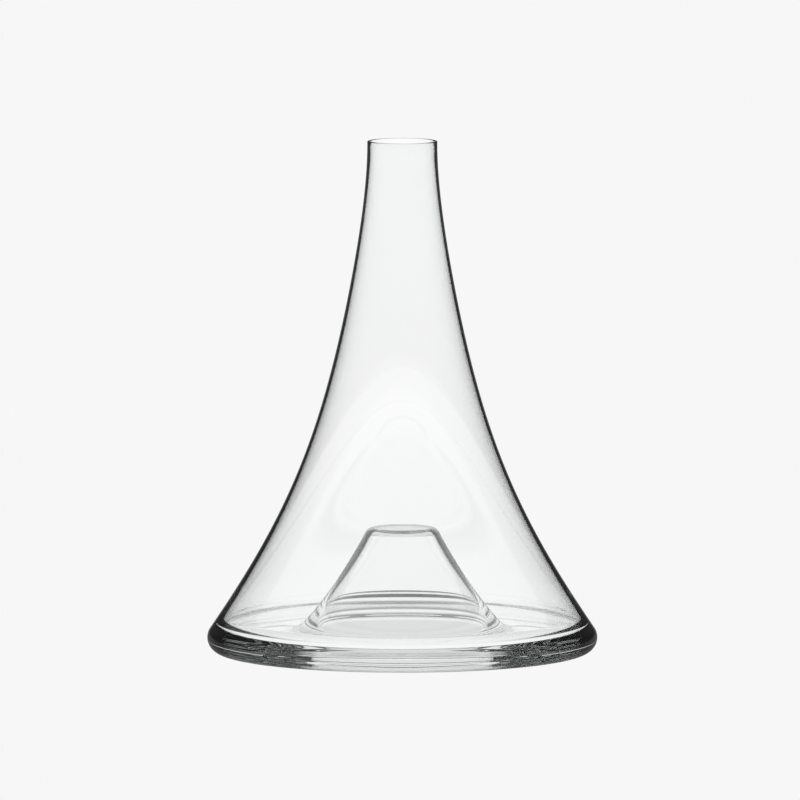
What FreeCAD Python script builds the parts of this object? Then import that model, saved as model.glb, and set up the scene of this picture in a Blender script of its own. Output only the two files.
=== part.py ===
import FreeCAD, Part
import os
from math import cos, radians, sin, tan
from FreeCAD import Vector

# Wine decanter: one blown glass vessel, modelled as the stretches of glass a glassmaker names.
# Millimetres, +Z up, axis of revolution on Z, standing on z = 0.
# Every outline point is (radius, height) in the half plane x >= 0, y = 0.
# A pull is the length of a curve's tangent handle.

# --- Driving dimensions ---------------------------------------------------------------------
HEIGHT = 276.0
WIDEST_RADIUS = 105.0

# Mouth: a straight bore under a flat cut lip.
RIM_RADIUS = 18.8
RIM_WALL = 1.5
MOUTH_LENGTH = 10.0
LIP_ROUND = 0.4

# Outer wall: it flares from the rim in one sweep and leans out by HEEL_LEAN where it meets the heel.
# The shape radii are its free control radii, at even steps of height below the rim.
WALL_SHAPE_RADII = (18.5, 37.2, 36.5)
HEEL_ROUND = 8.0
HEEL_LEAN = radians(34.0)

# Inner wall: the same sweep, with more glass towards the base, ending in a fillet at the floor.
INNER_SHAPE_RADII = (20.4, 33.4, 38.1)
INNER_LEAN = radians(32.0)
FILLET_RADIUS = 6.0
FILLET_CENTRE = (90.8, 15.7)

# Floor of the vessel: thick glass whose top rises gently towards the punt.
FLOOR_RISE = radians(1.7)
FLOOR_EDGE_RADIUS = 59.5

# Punt: the hollow pushed up into the vessel from below.
PUNT_TOP = 66.7
PUNT_LEAN = radians(26.0)
PUNT_CORNER_RADIUS = 15.5
PUNT_CORNER_ROUND = 5.0
PUNT_SIDE_PULL = 22.0
PUNT_FOOT_RADIUS = 52.0

# Hollow under the punt: thin glass over it, thick glass round its foot.
CROWN_THICKNESS = 2.6
HOLLOW_CORNER_RADIUS = 14.7
HOLLOW_CORNER_ROUND = 3.0
HOLLOW_SIDE_PULL = 26.0
HOLLOW_FOOT = (49.0, 5.0)
HOLLOW_FOOT_LEAN = radians(76.0)
HOLLOW_FOOT_PULL = 10.0
HOLLOW_EDGE_ROUND = 4.0

# Underside: slightly dished, so that the vessel stands on its outer ring.
UNDERSIDE_RISE = 0.7
UNDERSIDE_PULL = 12.0
RING_INNER_RADIUS = 87.0

# Heights and radii where one stretch of glass is taken to end and the next to begin.
NECK_BOTTOM = 216.0
SHOULDER_BOTTOM = 120.0
BOWL_BOTTOM = 22.0
BOWL_INNER_RADIUS = 35.0
FLOOR_OUTER_RADIUS = 86.0
FLOOR_INNER_RADIUS = 61.0
CROWN_BOTTOM = 57.0
MARGIN = 10.0

# --- Worked out from the above --------------------------------------------------------------
HEEL_CENTRE = (WIDEST_RADIUS - HEEL_ROUND, HEEL_ROUND)
MOUTH_RADIUS = RIM_RADIUS - RIM_WALL
EDGE_CENTRE = (HOLLOW_FOOT[0] + HOLLOW_EDGE_ROUND, UNDERSIDE_RISE + HOLLOW_EDGE_ROUND)
REACH = WIDEST_RADIUS + MARGIN
ABOVE = HEIGHT + MARGIN
QUARTER = radians(90.0)


def point(radius, height):
    return Vector(radius, 0, height)


def on_circle(centre, radius, angle):
    """The point of a circle at an angle above the horizontal, on its outer side."""
    return (centre[0] + radius * cos(angle), centre[1] + radius * sin(angle))


def line(start, end):
    return Part.makeLine(point(*start), point(*end))


def arc(centre, radius, start, end):
    """A circular edge between two angles above the horizontal."""
    middle = on_circle(centre, radius, (start + end) / 2)
    ends = (on_circle(centre, radius, start), on_circle(centre, radius, end))
    return Part.Arc(point(*ends[0]), point(*middle), point(*ends[1])).toShape()


def bezier(poles):
    curve = Part.BezierCurve()
    curve.setPoles([point(*pole) for pole in poles])
    return curve.toShape()


def wall_curve(top, bottom, shape_radii, lean):
    """A wall that leaves its top pole freely and arrives at its bottom pole leaning out by lean."""
    step = (top[1] - bottom[1]) / (len(shape_radii) + 2)
    poles = [top]
    for i, radius in enumerate(shape_radii, start=1):
        poles.append((radius, top[1] - i * step))
    poles.append((bottom[0] - step * tan(lean), bottom[1] + step))
    poles.append(bottom)
    return bezier(poles)


def fillet_start():
    """Where the floor meets the fillet at the foot of the inner wall."""
    return on_circle(FILLET_CENTRE, FILLET_RADIUS, -QUARTER - FLOOR_RISE)


def on_floor(radius):
    start = fillet_start()
    return (radius, start[1] + (start[0] - radius) * tan(FLOOR_RISE))


def down_side(start, pull):
    """The handle of a punt or hollow side that leaves its top corner leaning out by PUNT_LEAN."""
    return (start[0] + pull * sin(PUNT_LEAN), start[1] - pull * cos(PUNT_LEAN))


def outer_edges():
    """From the lip's outer edge down the wall and round the heel to the standing ring."""
    heel_start = on_circle(HEEL_CENTRE, HEEL_ROUND, HEEL_LEAN)
    lip = (RIM_RADIUS, HEIGHT - LIP_ROUND)
    return [
        arc((RIM_RADIUS - LIP_ROUND, HEIGHT - LIP_ROUND), LIP_ROUND, QUARTER, 0.0),
        wall_curve(lip, heel_start, WALL_SHAPE_RADII, HEEL_LEAN),
        arc(HEEL_CENTRE, HEEL_ROUND, HEEL_LEAN, -QUARTER),
    ]


def underside_edges():
    """From the standing ring across the dished underside and up the hollow to the axis."""
    hollow_top = PUNT_TOP - CROWN_THICKNESS
    corner = (HOLLOW_CORNER_RADIUS, hollow_top - HOLLOW_CORNER_ROUND)
    side = on_circle(corner, HOLLOW_CORNER_ROUND, PUNT_LEAN)
    above_foot = on_circle(HOLLOW_FOOT, HOLLOW_FOOT_PULL, HOLLOW_FOOT_LEAN)
    ring_inner = (RING_INNER_RADIUS, 0.0)
    edge = (EDGE_CENTRE[0], UNDERSIDE_RISE)
    dish = [ring_inner, (ring_inner[0] - UNDERSIDE_PULL, 0.0), (edge[0] + UNDERSIDE_PULL, edge[1]), edge]
    return [
        line((HEEL_CENTRE[0], 0.0), ring_inner),
        bezier(dish),
        arc(EDGE_CENTRE, HOLLOW_EDGE_ROUND, -QUARTER, -2 * QUARTER),
        line((HOLLOW_FOOT[0], EDGE_CENTRE[1]), HOLLOW_FOOT),
        bezier([HOLLOW_FOOT, above_foot, down_side(side, HOLLOW_SIDE_PULL), side]),
        arc(corner, HOLLOW_CORNER_ROUND, PUNT_LEAN, QUARTER),
        line((HOLLOW_CORNER_RADIUS, hollow_top), (0.0, hollow_top)),
    ]


def punt_edges():
    """From the axis over the punt's top, down its side and out along the floor."""
    corner = (PUNT_CORNER_RADIUS, PUNT_TOP - PUNT_CORNER_ROUND)
    side = on_circle(corner, PUNT_CORNER_ROUND, PUNT_LEAN)
    floor_edge = on_floor(FLOOR_EDGE_RADIUS)
    return [
        line((0.0, PUNT_TOP), (PUNT_CORNER_RADIUS, PUNT_TOP)),
        arc(corner, PUNT_CORNER_ROUND, QUARTER, PUNT_LEAN),
        bezier([side, down_side(side, PUNT_SIDE_PULL), on_floor(PUNT_FOOT_RADIUS), floor_edge]),
        line(floor_edge, fillet_start()),
    ]


def inner_edges():
    """From the floor round the fillet, up the wall and the mouth's bore to the lip."""
    fillet_end = on_circle(FILLET_CENTRE, FILLET_RADIUS, INNER_LEAN)
    bore_bottom = (MOUTH_RADIUS, HEIGHT - MOUTH_LENGTH)
    inner_lip = (MOUTH_RADIUS + LIP_ROUND, HEIGHT - LIP_ROUND)
    return [
        arc(FILLET_CENTRE, FILLET_RADIUS, -QUARTER - FLOOR_RISE, INNER_LEAN),
        wall_curve(bore_bottom, fillet_end, INNER_SHAPE_RADII, INNER_LEAN),
        line(bore_bottom, (MOUTH_RADIUS, HEIGHT - LIP_ROUND)),
        arc(inner_lip, LIP_ROUND, 2 * QUARTER, QUARTER),
        line((MOUTH_RADIUS + LIP_ROUND, HEIGHT), (RIM_RADIUS - LIP_ROUND, HEIGHT)),
    ]


def glass_section():
    """The half section of all the glass, as one flat face."""
    axis_edge = line((0.0, PUNT_TOP - CROWN_THICKNESS), (0.0, PUNT_TOP))
    edges = outer_edges() + underside_edges() + [axis_edge] + punt_edges() + inner_edges()
    return Part.Face(Part.Wire(Part.sortEdges(edges)[0]))


def window(inner_radius, outer_radius, bottom, top):
    """A rectangle of the half plane that frames one stretch of the section."""
    corners = [(inner_radius, bottom), (outer_radius, bottom), (outer_radius, top), (inner_radius, top)]
    return Part.Face(Part.makePolygon([point(*corner) for corner in corners + corners[:1]]))


def spin(section, frame):
    """The stretch of glass inside one frame, turned once about the axis."""
    stretch = section.common(frame)
    return stretch.Faces[0].revolve(Vector(0, 0, 0), Vector(0, 0, 1), 360)


STRETCHES = {
    "rim": window(0.0, REACH, HEIGHT - MOUTH_LENGTH, ABOVE),
    "neck": window(0.0, REACH, NECK_BOTTOM, HEIGHT - MOUTH_LENGTH),
    "shoulder": window(0.0, REACH, SHOULDER_BOTTOM, NECK_BOTTOM),
    "bowl_wall": window(BOWL_INNER_RADIUS, REACH, BOWL_BOTTOM, SHOULDER_BOTTOM),
    "heel": window(FLOOR_OUTER_RADIUS, REACH, -MARGIN, BOWL_BOTTOM),
    "base_floor": window(FLOOR_INNER_RADIUS, FLOOR_OUTER_RADIUS, -MARGIN, BOWL_BOTTOM),
    "punt_wall": window(0.0, FLOOR_INNER_RADIUS, -MARGIN, CROWN_BOTTOM),
    "punt_crown": window(0.0, FLOOR_INNER_RADIUS, CROWN_BOTTOM, PUNT_TOP + MARGIN),
}

os.makedirs("parts", exist_ok=True)
SECTION = glass_section()
for node, frame in STRETCHES.items():
    shape = spin(SECTION, frame)
    shape.exportStep("parts/" + node + ".step")
    print(node, "volume", round(shape.Volume / 1000.0, 1), "cm3", "valid", shape.isValid(), len(shape.Solids))
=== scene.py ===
import math

import bpy
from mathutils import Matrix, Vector


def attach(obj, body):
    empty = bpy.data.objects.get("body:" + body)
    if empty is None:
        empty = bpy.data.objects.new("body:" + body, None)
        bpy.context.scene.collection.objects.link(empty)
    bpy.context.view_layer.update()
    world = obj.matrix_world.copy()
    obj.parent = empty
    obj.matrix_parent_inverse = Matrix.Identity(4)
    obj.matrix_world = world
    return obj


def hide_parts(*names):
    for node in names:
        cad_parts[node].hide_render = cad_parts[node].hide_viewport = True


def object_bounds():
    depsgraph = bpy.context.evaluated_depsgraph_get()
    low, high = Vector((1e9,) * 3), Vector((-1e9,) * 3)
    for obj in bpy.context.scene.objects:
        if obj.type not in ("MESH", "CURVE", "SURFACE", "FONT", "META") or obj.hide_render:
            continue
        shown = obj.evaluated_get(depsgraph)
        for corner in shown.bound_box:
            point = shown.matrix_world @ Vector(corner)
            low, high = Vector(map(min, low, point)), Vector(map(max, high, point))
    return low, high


# A clear blown glass wine decanter on a plain pale floor. Metres, +Z up, the decanter's axis on Z.

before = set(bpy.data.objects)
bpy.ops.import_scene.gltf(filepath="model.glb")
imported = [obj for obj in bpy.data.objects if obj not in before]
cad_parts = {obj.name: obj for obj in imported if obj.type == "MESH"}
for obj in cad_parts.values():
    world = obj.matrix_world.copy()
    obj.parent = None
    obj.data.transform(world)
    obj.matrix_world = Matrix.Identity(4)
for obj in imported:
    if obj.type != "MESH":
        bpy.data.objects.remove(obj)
CAD_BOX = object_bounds()

MM = 0.001

# --- The decanter's outline, in millimetres: (radius, height); height and widest radius from the CAD ---
HEIGHT = CAD_BOX[1].z / MM
WIDEST_RADIUS = CAD_BOX[1].x / MM
RIM_RADIUS = 18.8
RIM_WALL = 1.5
MOUTH_LENGTH = 10.0
LIP_ROUND = 0.4
WALL_SHAPE_RADII = (18.5, 37.2, 36.5)
HEEL_ROUND = 8.0
HEEL_LEAN = math.radians(34.0)
INNER_SHAPE_RADII = (20.4, 33.4, 38.1)
INNER_LEAN = math.radians(32.0)
FILLET_RADIUS = 6.0
FILLET_CENTRE = (90.8, 15.7)
FLOOR_RISE = math.radians(1.7)
FLOOR_EDGE_RADIUS = 59.5
PUNT_TOP = 66.7
PUNT_LEAN = math.radians(26.0)
PUNT_CORNER_RADIUS = 15.5
PUNT_CORNER_ROUND = 5.0
PUNT_SIDE_PULL = 22.0
PUNT_FOOT_RADIUS = 52.0
CROWN_THICKNESS = 2.6
HOLLOW_CORNER_RADIUS = 14.7
HOLLOW_CORNER_ROUND = 3.0
HOLLOW_SIDE_PULL = 26.0
HOLLOW_FOOT = (49.0, 5.0)
HOLLOW_FOOT_LEAN = math.radians(76.0)
HOLLOW_FOOT_PULL = 10.0
HOLLOW_EDGE_ROUND = 4.0
UNDERSIDE_RISE = 0.7
UNDERSIDE_PULL = 12.0
RING_INNER_RADIUS = 87.0

HEEL_CENTRE = (WIDEST_RADIUS - HEEL_ROUND, HEEL_ROUND)
MOUTH_RADIUS = RIM_RADIUS - RIM_WALL
EDGE_CENTRE = (HOLLOW_FOOT[0] + HOLLOW_EDGE_ROUND, UNDERSIDE_RISE + HOLLOW_EDGE_ROUND)
QUARTER = math.radians(90.0)

# --- How finely the outline is cut --------------------------------------------------------------
RING_STEPS = 288
WALL_STEPS = 56
PUNT_SIDE_STEPS = 40
PUNT_CORNER_STEPS = 10
HOLLOW_CORNER_STEPS = 8
HOLLOW_EDGE_STEPS = 12
DISH_STEPS = 16
HEEL_STEPS = 26
LIP_STEPS = 6
LIP_FLAT_STEPS = 2
CROWN_STEPS = 6
STRAIGHT_STEPS = 4

# --- Glass, in metres where it has a size -------------------------------------------------------
IOR = 1.52
NOISE_LOW = 0.3
NOISE_HIGH = 0.7
RIPPLE_SCALE = 16.0
RIPPLE_DETAIL = 1.0
RIPPLE_DRAW = 0.6
RIPPLE_HEIGHT = 0.00008
FINE_SCALE = 90.0
FINE_DETAIL = 3.0
POLISHED = 0.0
HANDLED = 0.006
FAINT_TINT = (0.985, 0.995, 0.99, 1)
DEEP_TINT = (0.80, 0.86, 0.88, 1)
TINT_DENSITY = 2.0


def on_circle(centre, radius, angle):
    return (centre[0] + radius * math.cos(angle), centre[1] + radius * math.sin(angle))


def arc(centre, radius, start, end, steps):
    return [on_circle(centre, radius, start + (end - start) * i / steps) for i in range(steps + 1)]


def line(start, end, steps):
    return [tuple(a + (b - a) * i / steps for a, b in zip(start, end)) for i in range(steps + 1)]


def bezier(poles, steps):
    degree = len(poles) - 1
    points = []
    for i in range(steps + 1):
        t = i / steps
        weights = [math.comb(degree, k) * (1 - t) ** (degree - k) * t ** k for k in range(degree + 1)]
        points.append(tuple(sum(w * pole[axis] for w, pole in zip(weights, poles)) for axis in (0, 1)))
    return points


def wall_curve(top, bottom, shape_radii, lean, steps):
    """A wall that leaves its top pole freely and arrives at its bottom pole leaning out by lean."""
    step = (top[1] - bottom[1]) / (len(shape_radii) + 2)
    poles = [top]
    for i, radius in enumerate(shape_radii, start=1):
        poles.append((radius, top[1] - i * step))
    poles.append((bottom[0] - step * math.tan(lean), bottom[1] + step))
    poles.append(bottom)
    return bezier(poles, steps)


def fillet_start():
    return on_circle(FILLET_CENTRE, FILLET_RADIUS, -QUARTER - FLOOR_RISE)


def on_floor(radius):
    start = fillet_start()
    return (radius, start[1] + (start[0] - radius) * math.tan(FLOOR_RISE))


def down_side(start, pull):
    return (start[0] + pull * math.sin(PUNT_LEAN), start[1] - pull * math.cos(PUNT_LEAN))


def underside():
    """From the axis under the punt, down the hollow and out to the heel."""
    hollow_top = PUNT_TOP - CROWN_THICKNESS
    corner = (HOLLOW_CORNER_RADIUS, hollow_top - HOLLOW_CORNER_ROUND)
    side = on_circle(corner, HOLLOW_CORNER_ROUND, PUNT_LEAN)
    above_foot = on_circle(HOLLOW_FOOT, HOLLOW_FOOT_PULL, HOLLOW_FOOT_LEAN)
    edge = (EDGE_CENTRE[0], UNDERSIDE_RISE)
    ring_inner = (RING_INNER_RADIUS, 0.0)
    dish = [edge, (edge[0] + UNDERSIDE_PULL, edge[1]), (ring_inner[0] - UNDERSIDE_PULL, 0.0), ring_inner]
    return [
        line((0.0, hollow_top), (HOLLOW_CORNER_RADIUS, hollow_top), CROWN_STEPS),
        arc(corner, HOLLOW_CORNER_ROUND, QUARTER, PUNT_LEAN, HOLLOW_CORNER_STEPS),
        bezier([side, down_side(side, HOLLOW_SIDE_PULL), above_foot, HOLLOW_FOOT], PUNT_SIDE_STEPS),
        line(HOLLOW_FOOT, (HOLLOW_FOOT[0], EDGE_CENTRE[1]), STRAIGHT_STEPS),
        arc(EDGE_CENTRE, HOLLOW_EDGE_ROUND, -2 * QUARTER, -QUARTER, HOLLOW_EDGE_STEPS),
        bezier(dish, DISH_STEPS),
        line(ring_inner, (HEEL_CENTRE[0], 0.0), STRAIGHT_STEPS),
    ]


def outside():
    """From the heel up the outer wall and over the lip to the bore."""
    heel_start = on_circle(HEEL_CENTRE, HEEL_ROUND, HEEL_LEAN)
    lip = (RIM_RADIUS, HEIGHT - LIP_ROUND)
    return [
        arc(HEEL_CENTRE, HEEL_ROUND, -QUARTER, HEEL_LEAN, HEEL_STEPS),
        wall_curve(lip, heel_start, WALL_SHAPE_RADII, HEEL_LEAN, WALL_STEPS)[::-1],
        arc((RIM_RADIUS - LIP_ROUND, HEIGHT - LIP_ROUND), LIP_ROUND, 0.0, QUARTER, LIP_STEPS),
        line((RIM_RADIUS - LIP_ROUND, HEIGHT), (MOUTH_RADIUS + LIP_ROUND, HEIGHT), LIP_FLAT_STEPS),
    ]


def inside():
    """From the lip down the bore and the inner wall, in along the floor and up over the punt."""
    bore_bottom = (MOUTH_RADIUS, HEIGHT - MOUTH_LENGTH)
    fillet_end = on_circle(FILLET_CENTRE, FILLET_RADIUS, INNER_LEAN)
    corner = (PUNT_CORNER_RADIUS, PUNT_TOP - PUNT_CORNER_ROUND)
    side = on_circle(corner, PUNT_CORNER_ROUND, PUNT_LEAN)
    floor_edge = on_floor(FLOOR_EDGE_RADIUS)
    punt_side = [floor_edge, on_floor(PUNT_FOOT_RADIUS), down_side(side, PUNT_SIDE_PULL), side]
    return [
        arc((MOUTH_RADIUS + LIP_ROUND, HEIGHT - LIP_ROUND), LIP_ROUND, QUARTER, 2 * QUARTER, LIP_STEPS),
        line((MOUTH_RADIUS, HEIGHT - LIP_ROUND), bore_bottom, STRAIGHT_STEPS),
        wall_curve(bore_bottom, fillet_end, INNER_SHAPE_RADII, INNER_LEAN, WALL_STEPS),
        arc(FILLET_CENTRE, FILLET_RADIUS, INNER_LEAN, -QUARTER - FLOOR_RISE, HEEL_STEPS),
        line(fillet_start(), floor_edge, STRAIGHT_STEPS),
        bezier(punt_side, PUNT_SIDE_STEPS),
        arc(corner, PUNT_CORNER_ROUND, PUNT_LEAN, QUARTER, PUNT_CORNER_STEPS),
        line((PUNT_CORNER_RADIUS, PUNT_TOP), (0.0, PUNT_TOP), CROWN_STEPS),
    ]


def outline():
    """The glass's half section, from the axis under the punt round to the axis over it."""
    points = [(0.0, PUNT_TOP - CROWN_THICKNESS)]
    for stretch in underside() + outside() + inside():
        points += stretch[1:]
    return points


def build_glass():
    rings = outline()
    inner = rings[1:-1]
    vertices = [(0.0, 0.0, rings[0][1] * MM)]
    for radius, height in inner:
        for i in range(RING_STEPS):
            a = 2 * math.pi * i / RING_STEPS
            vertices.append((radius * MM * math.cos(a), radius * MM * math.sin(a), height * MM))
    vertices.append((0.0, 0.0, rings[-1][1] * MM))
    last = len(vertices) - 1
    faces = []
    for i in range(RING_STEPS):
        j = (i + 1) % RING_STEPS
        faces.append((0, 1 + j, 1 + i))
        for k in range(len(inner) - 1):
            a, b = 1 + k * RING_STEPS, 1 + (k + 1) * RING_STEPS
            faces.append((a + i, a + j, b + j, b + i))
        top = 1 + (len(inner) - 1) * RING_STEPS
        faces.append((top + i, top + j, last))
    mesh = bpy.data.meshes.new("decanter_glass")
    mesh.from_pydata(vertices, [], faces)
    mesh.validate()
    mesh.shade_smooth()
    glass = bpy.data.objects.new("decanter_glass", mesh)
    bpy.context.collection.objects.link(glass)
    return glass


def put(tree, value, socket):
    if isinstance(value, (int, float)):
        socket.default_value = value
    else:
        tree.links.new(value, socket)


def math_node(tree, operation, *values):
    node = tree.nodes.new("ShaderNodeMath")
    node.operation = operation
    for socket, value in zip(node.inputs, values):
        put(tree, value, socket)
    return node.outputs[0]


def choose(tree, condition, if_true, if_false):
    node = tree.nodes.new("ShaderNodeMix")
    node.data_type = "FLOAT"
    put(tree, condition, node.inputs["Factor"])
    put(tree, if_false, node.inputs["A"])
    put(tree, if_true, node.inputs["B"])
    return node.outputs["Result"]


def ramp(tree, value, start, end, low=0.0, high=1.0):
    """low before start, high after end, and straight between them. start may be the larger."""
    node = tree.nodes.new("ShaderNodeMapRange")
    put(tree, value, node.inputs["Value"])
    node.inputs["From Min"].default_value = start
    node.inputs["From Max"].default_value = end
    node.inputs["To Min"].default_value = low
    node.inputs["To Max"].default_value = high
    return node.outputs["Result"]


def noise(tree, where, scale, detail):
    node = tree.nodes.new("ShaderNodeTexNoise")
    node.inputs["Scale"].default_value = scale
    node.inputs["Detail"].default_value = detail
    tree.links.new(where, node.inputs["Vector"])
    return node.outputs["Fac"]


def glass_material():
    """Blown glass: clear, with the slow ripple of the blowing, a fire-polished skin and a trace of tint."""
    material = bpy.data.materials.new("clear_glass")
    material.use_nodes = True
    tree = material.node_tree
    shader = tree.nodes["Principled BSDF"]
    shader.inputs["Transmission Weight"].default_value = 1.0
    shader.inputs["IOR"].default_value = IOR

    # The glass was drawn up and spun, so its ripple is longer than it is wide.
    where = tree.nodes.new("ShaderNodeTexCoord")
    drawn = tree.nodes.new("ShaderNodeMapping")
    drawn.inputs["Scale"].default_value = (1.0, 1.0, RIPPLE_DRAW)
    tree.links.new(where.outputs["Object"], drawn.inputs["Vector"])
    slow = noise(tree, drawn.outputs[0], RIPPLE_SCALE, RIPPLE_DETAIL)
    fine = noise(tree, drawn.outputs[0], FINE_SCALE, FINE_DETAIL)

    ripple = tree.nodes.new("ShaderNodeBump")
    ripple.inputs["Strength"].default_value = 1.0
    ripple.inputs["Distance"].default_value = RIPPLE_HEIGHT
    tree.links.new(slow, ripple.inputs["Height"])
    tree.links.new(ripple.outputs[0], shader.inputs["Normal"])
    skin = ramp(tree, fine, NOISE_LOW, NOISE_HIGH, POLISHED, HANDLED)
    tree.links.new(skin, shader.inputs["Roughness"])

    tint = tree.nodes.new("ShaderNodeValToRGB")
    tint.color_ramp.elements[0].color = (1.0, 1.0, 1.0, 1)
    tint.color_ramp.elements[1].color = FAINT_TINT
    tree.links.new(slow, tint.inputs["Fac"])
    tree.links.new(tint.outputs["Color"], shader.inputs["Base Color"])

    absorb = tree.nodes.new("ShaderNodeVolumeAbsorption")
    absorb.inputs["Color"].default_value = DEEP_TINT
    absorb.inputs["Density"].default_value = TINT_DENSITY
    tree.links.new(absorb.outputs[0], tree.nodes["Material Output"].inputs["Volume"])
    return material


glass = build_glass()
glass.data.materials.append(glass_material())
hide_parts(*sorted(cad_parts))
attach(glass, "root")


# --- Stage --------------------------------------------------------------------------------------
# Plain pale light all round. Light that has passed through the glass meets a painted studio of its own,
# bright, with a few places of painted shade. Which places are dark goes by how often the ray seen by
# the camera crossed the glass's surface and was reflected by it, and was chosen to give the dark lines
# of the main view. Light reflected off the glass's outside sees a painted, darker sky and floor.
# It is painted light and shade, not real lamps.
PALE = 0.93
# Painted shade: the sky and floor take this value for light through the glass in PAINTED_SHADE_PLACES.
PAINTED_SHADE = 0.006
# Painted light: the sky and floor seen through the glass, or reflected inside it, are brighter than PALE.
BEHIND_GLASS = 1.0
# Painted light: the floor seen through the glass grows FAR_LIFT brighter from LIFT_FROM to LIFT_TO metres
# out.
FAR_LIFT = 0.06
LIFT_FROM = 0.4
LIFT_TO = 2.5
# Painted shade: the sky above HIGH_FROM degrees is dimmer for light through the glass.
HIGH_SKY = 0.76
HIGH_FROM = 24.0
# Painted shadow: the floor under the base, within HOLLOW_REACH of the axis, is darker for light through the
# glass.
PAINTED_SHADOW_UNDER_HOLLOW = 0.78
HOLLOW_REACH = 0.050
# Painted reflections: the sky and floor that the glass's outside reflects are this dark, not PALE.
SHEEN_SKY = 0.05
SHEEN_FLOOR = 0.15
SKY_BLUR = 1.0
FLOOR_BLUR = 0.004
# Size of the painted glow ring round the base.
GLOW_RING_RADIUS = 0.130
GLOW_RING_HEIGHT = 0.032
FLOOR_RADIUS = 80.0
FLOOR_DROP = 0.00005
ROUND_STEPS = 96

MANY = 99
ANYWHERE = (-99.0, 99.0)
NOWHERE = (98.0, 99.0)
ONWARDS = 99.0
SKY, FLOOR, STRENGTH = 3, 4, 5

# Each row: how often light crossed the surface of the glass, the fewest and most times it was
# reflected, the degrees above the horizon and the metres of floor that are then painted dark, how dark.
PAINTED_SHADE_PLACES = (
    (2, 0, 0, (3.0, 24.0), NOWHERE, 1.0),
    (2, 1, 1, (-1.0, 25.0), (0.107, ONWARDS), 1.0),
    (2, 2, MANY, ANYWHERE, ANYWHERE, 1.0),
    (4, 1, MANY, NOWHERE, (0.050, 0.068), 0.9),
    (4, 1, MANY, (-1.0, 3.5), (0.200, ONWARDS), 0.6),
    (6, 0, 0, (24.0, 31.0), (0.068, 0.130), 1.0),
    (6, 0, 0, (8.0, 17.0), (0.500, ONWARDS), 0.5),
    (6, 1, 1, (-1.0, 24.0), (0.150, ONWARDS), 1.0),
    (6, 1, 1, NOWHERE, (0.054, 0.064), 0.7),
    (6, 2, MANY, (-1.0, 30.0), (0.150, ONWARDS), 1.0),
    (8, 0, 0, (5.0, 18.0), (0.103, 0.140), 1.0),
    (8, 0, 0, NOWHERE, (0.066, 0.082), 1.0),
)
# The light that sees the painted glow ring, as the first three columns above.
GLOW_RING_PATH = (6, 1, MANY)


def all_of(tree, *conditions):
    result = conditions[0]
    for condition in conditions[1:]:
        result = math_node(tree, "MULTIPLY", result, condition)
    return result


def between(tree, value, limits, blur):
    rises = ramp(tree, value, limits[0] - blur, limits[0] + blur)
    falls = ramp(tree, value, limits[1] + blur, limits[1] - blur)
    return all_of(tree, rises, falls)


def came_by(tree, path, crossings, fewest, most):
    """1 for light that crossed the glass's surface and was reflected so often, 0 for other light."""
    middle = (fewest + most) / 2
    crossed = math_node(tree, "COMPARE", path.outputs["Transmission Depth"], float(crossings), 0.5)
    turned = math_node(tree, "COMPARE", path.outputs["Glossy Depth"], middle, most - middle + 0.5)
    return all_of(tree, crossed, turned)


def painted_shade_amount(tree, path, place, column, blur):
    """How much painted shade this place of the sky or the floor has for the light that meets it."""
    dark = 0.0
    for row in PAINTED_SHADE_PLACES:
        arrives = came_by(tree, path, *row[:SKY])
        inside_limits = between(tree, place, row[column], blur)
        meets = all_of(tree, arrives, inside_limits, row[STRENGTH])
        dark = math_node(tree, "MAXIMUM", dark, meets)
    return dark


# Camera rays see the plain pale stage; light reflected by the glass or passed through it sees the painted
# values.
def by_ray(tree, path, direct, sheen, through):
    touched = math_node(tree, "GREATER_THAN", path.outputs["Transmission Depth"], 0.5)
    bounced = choose(tree, touched, BEHIND_GLASS, sheen)
    seen = choose(tree, path.outputs["Is Glossy Ray"], bounced, direct)
    return choose(tree, path.outputs["Is Transmission Ray"], through, seen)


def studio_world():
    world = bpy.data.worlds.new("studio")
    bpy.context.scene.world = world
    world.use_nodes = True
    tree = world.node_tree
    path = tree.nodes.new("ShaderNodeLightPath")
    where = tree.nodes.new("ShaderNodeTexCoord")
    split = tree.nodes.new("ShaderNodeSeparateXYZ")
    tree.links.new(where.outputs["Generated"], split.inputs[0])
    angle = math_node(tree, "DEGREES", math_node(tree, "ARCSINE", split.outputs["Z"]))
    high = ramp(tree, angle, HIGH_FROM - SKY_BLUR, HIGH_FROM + SKY_BLUR)
    sky = choose(tree, high, HIGH_SKY, BEHIND_GLASS)
    through = choose(tree, painted_shade_amount(tree, path, angle, SKY, SKY_BLUR), PAINTED_SHADE, sky)
    tree.links.new(by_ray(tree, path, PALE, SHEEN_SKY, through), tree.nodes["Background"].inputs["Color"])


def on_stage(name, vertices, faces):
    """A stage object with a new material, whose node tree is returned."""
    mesh = bpy.data.meshes.new(name)
    mesh.from_pydata(vertices, [], faces)
    obj = bpy.data.objects.new(name, mesh)
    bpy.context.collection.objects.link(obj)
    material = bpy.data.materials.new(name)
    material.use_nodes = True
    material.node_tree.nodes.remove(material.node_tree.nodes["Principled BSDF"])
    mesh.materials.append(material)
    return material.node_tree


def ring_of_points(radius, height):
    points = []
    for i in range(ROUND_STEPS):
        a = 2 * math.pi * i / ROUND_STEPS
        points.append((radius * math.cos(a), radius * math.sin(a), height))
    return points


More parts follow.
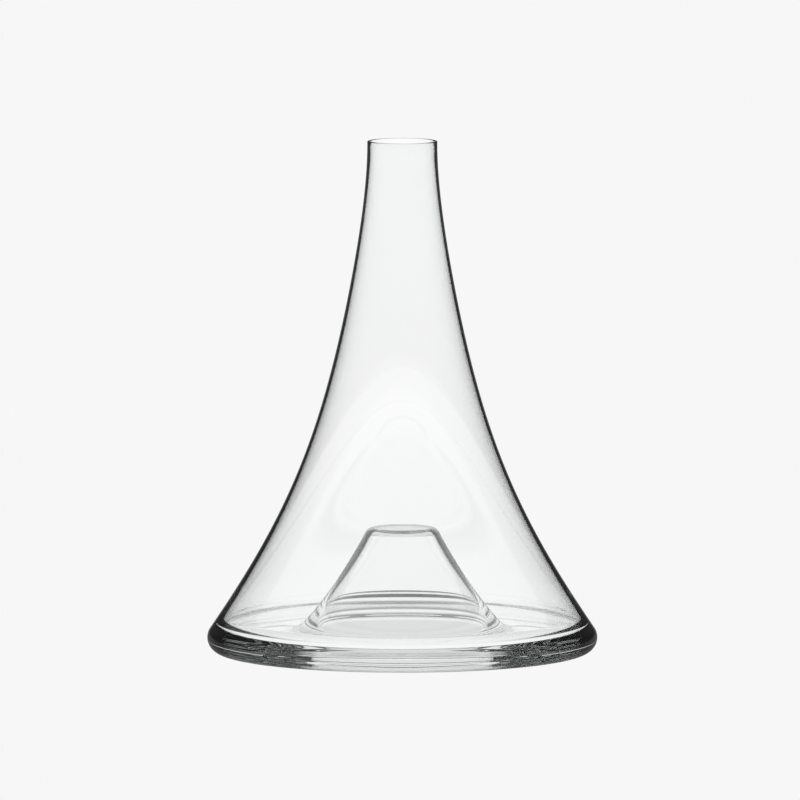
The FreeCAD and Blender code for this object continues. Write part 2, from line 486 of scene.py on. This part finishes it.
def studio_floor():
    tree = on_stage("floor", ring_of_points(FLOOR_RADIUS, -FLOOR_DROP), [tuple(range(ROUND_STEPS))])
    emit = tree.nodes.new("ShaderNodeEmission")
    path = tree.nodes.new("ShaderNodeLightPath")
    geometry = tree.nodes.new("ShaderNodeNewGeometry")
    length = tree.nodes.new("ShaderNodeVectorMath")
    length.operation = "LENGTH"
    tree.links.new(geometry.outputs["Position"], length.inputs[0])
    distance = length.outputs["Value"]
    lift = math_node(tree, "MULTIPLY_ADD", ramp(tree, distance, LIFT_FROM, LIFT_TO), FAR_LIFT, BEHIND_GLASS)
    away = ramp(tree, distance, HOLLOW_REACH - FLOOR_BLUR, HOLLOW_REACH + FLOOR_BLUR)
    ground = choose(tree, away, lift, PAINTED_SHADOW_UNDER_HOLLOW)
    through = choose(tree, painted_shade_amount(tree, path, distance, FLOOR, FLOOR_BLUR), PAINTED_SHADE, ground)
    tree.links.new(by_ray(tree, path, PALE, SHEEN_FLOOR, through), emit.inputs["Color"])
    tree.links.new(emit.outputs[0], tree.nodes["Material Output"].inputs["Surface"])


def painted_glow_ring():
    """A painted glow: a low bright ring round the base, clear to all light that did not come by
    GLOW_RING_PATH.
    """
    bottom = ring_of_points(GLOW_RING_RADIUS, 0.0)
    top = ring_of_points(GLOW_RING_RADIUS, GLOW_RING_HEIGHT)
    faces = []
    for i in range(ROUND_STEPS):
        j = (i + 1) % ROUND_STEPS
        faces.append((i, j, ROUND_STEPS + j, ROUND_STEPS + i))
    tree = on_stage("painted_glow_ring", bottom + top, faces)
    emit = tree.nodes.new("ShaderNodeEmission")
    emit.inputs["Color"].default_value = (BEHIND_GLASS, BEHIND_GLASS, BEHIND_GLASS, 1)
    clear = tree.nodes.new("ShaderNodeBsdfTransparent")
    path = tree.nodes.new("ShaderNodeLightPath")
    seen = came_by(tree, path, *GLOW_RING_PATH)
    mix = tree.nodes.new("ShaderNodeMixShader")
    tree.links.new(seen, mix.inputs["Fac"])
    tree.links.new(clear.outputs[0], mix.inputs[1])
    tree.links.new(emit.outputs[0], mix.inputs[2])
    tree.links.new(mix.outputs[0], tree.nodes["Material Output"].inputs["Surface"])


studio_world()
studio_floor()
painted_glow_ring()

# --- Camera -------------------------------------------------------------------------------------
CAMERA_DISTANCE = 9.0
CAMERA_HEIGHT = 1.041
AIM_HEIGHT = 0.1362
AIM_X = -0.00124
LENS = 757.0
SENSOR_WIDTH = 36.0
FAR_CLIP = 200.0
MAX_BOUNCES = 32
GLASS_BOUNCES = 24

camera = bpy.data.objects.new("camera", bpy.data.cameras.new("camera"))
bpy.context.collection.objects.link(camera)
camera.data.lens = LENS
camera.data.sensor_width = SENSOR_WIDTH
camera.data.clip_end = FAR_CLIP
camera.location = (AIM_X, -CAMERA_DISTANCE, CAMERA_HEIGHT)
look = Vector((AIM_X, 0, AIM_HEIGHT)) - camera.location
camera.rotation_euler = look.to_track_quat("-Z", "Y").to_euler()
bpy.context.scene.camera = camera

scene = bpy.context.scene
scene.view_settings.view_transform = "Standard"
scene.cycles.max_bounces = MAX_BOUNCES
scene.cycles.transmission_bounces = GLASS_BOUNCES
scene.cycles.glossy_bounces = GLASS_BOUNCES
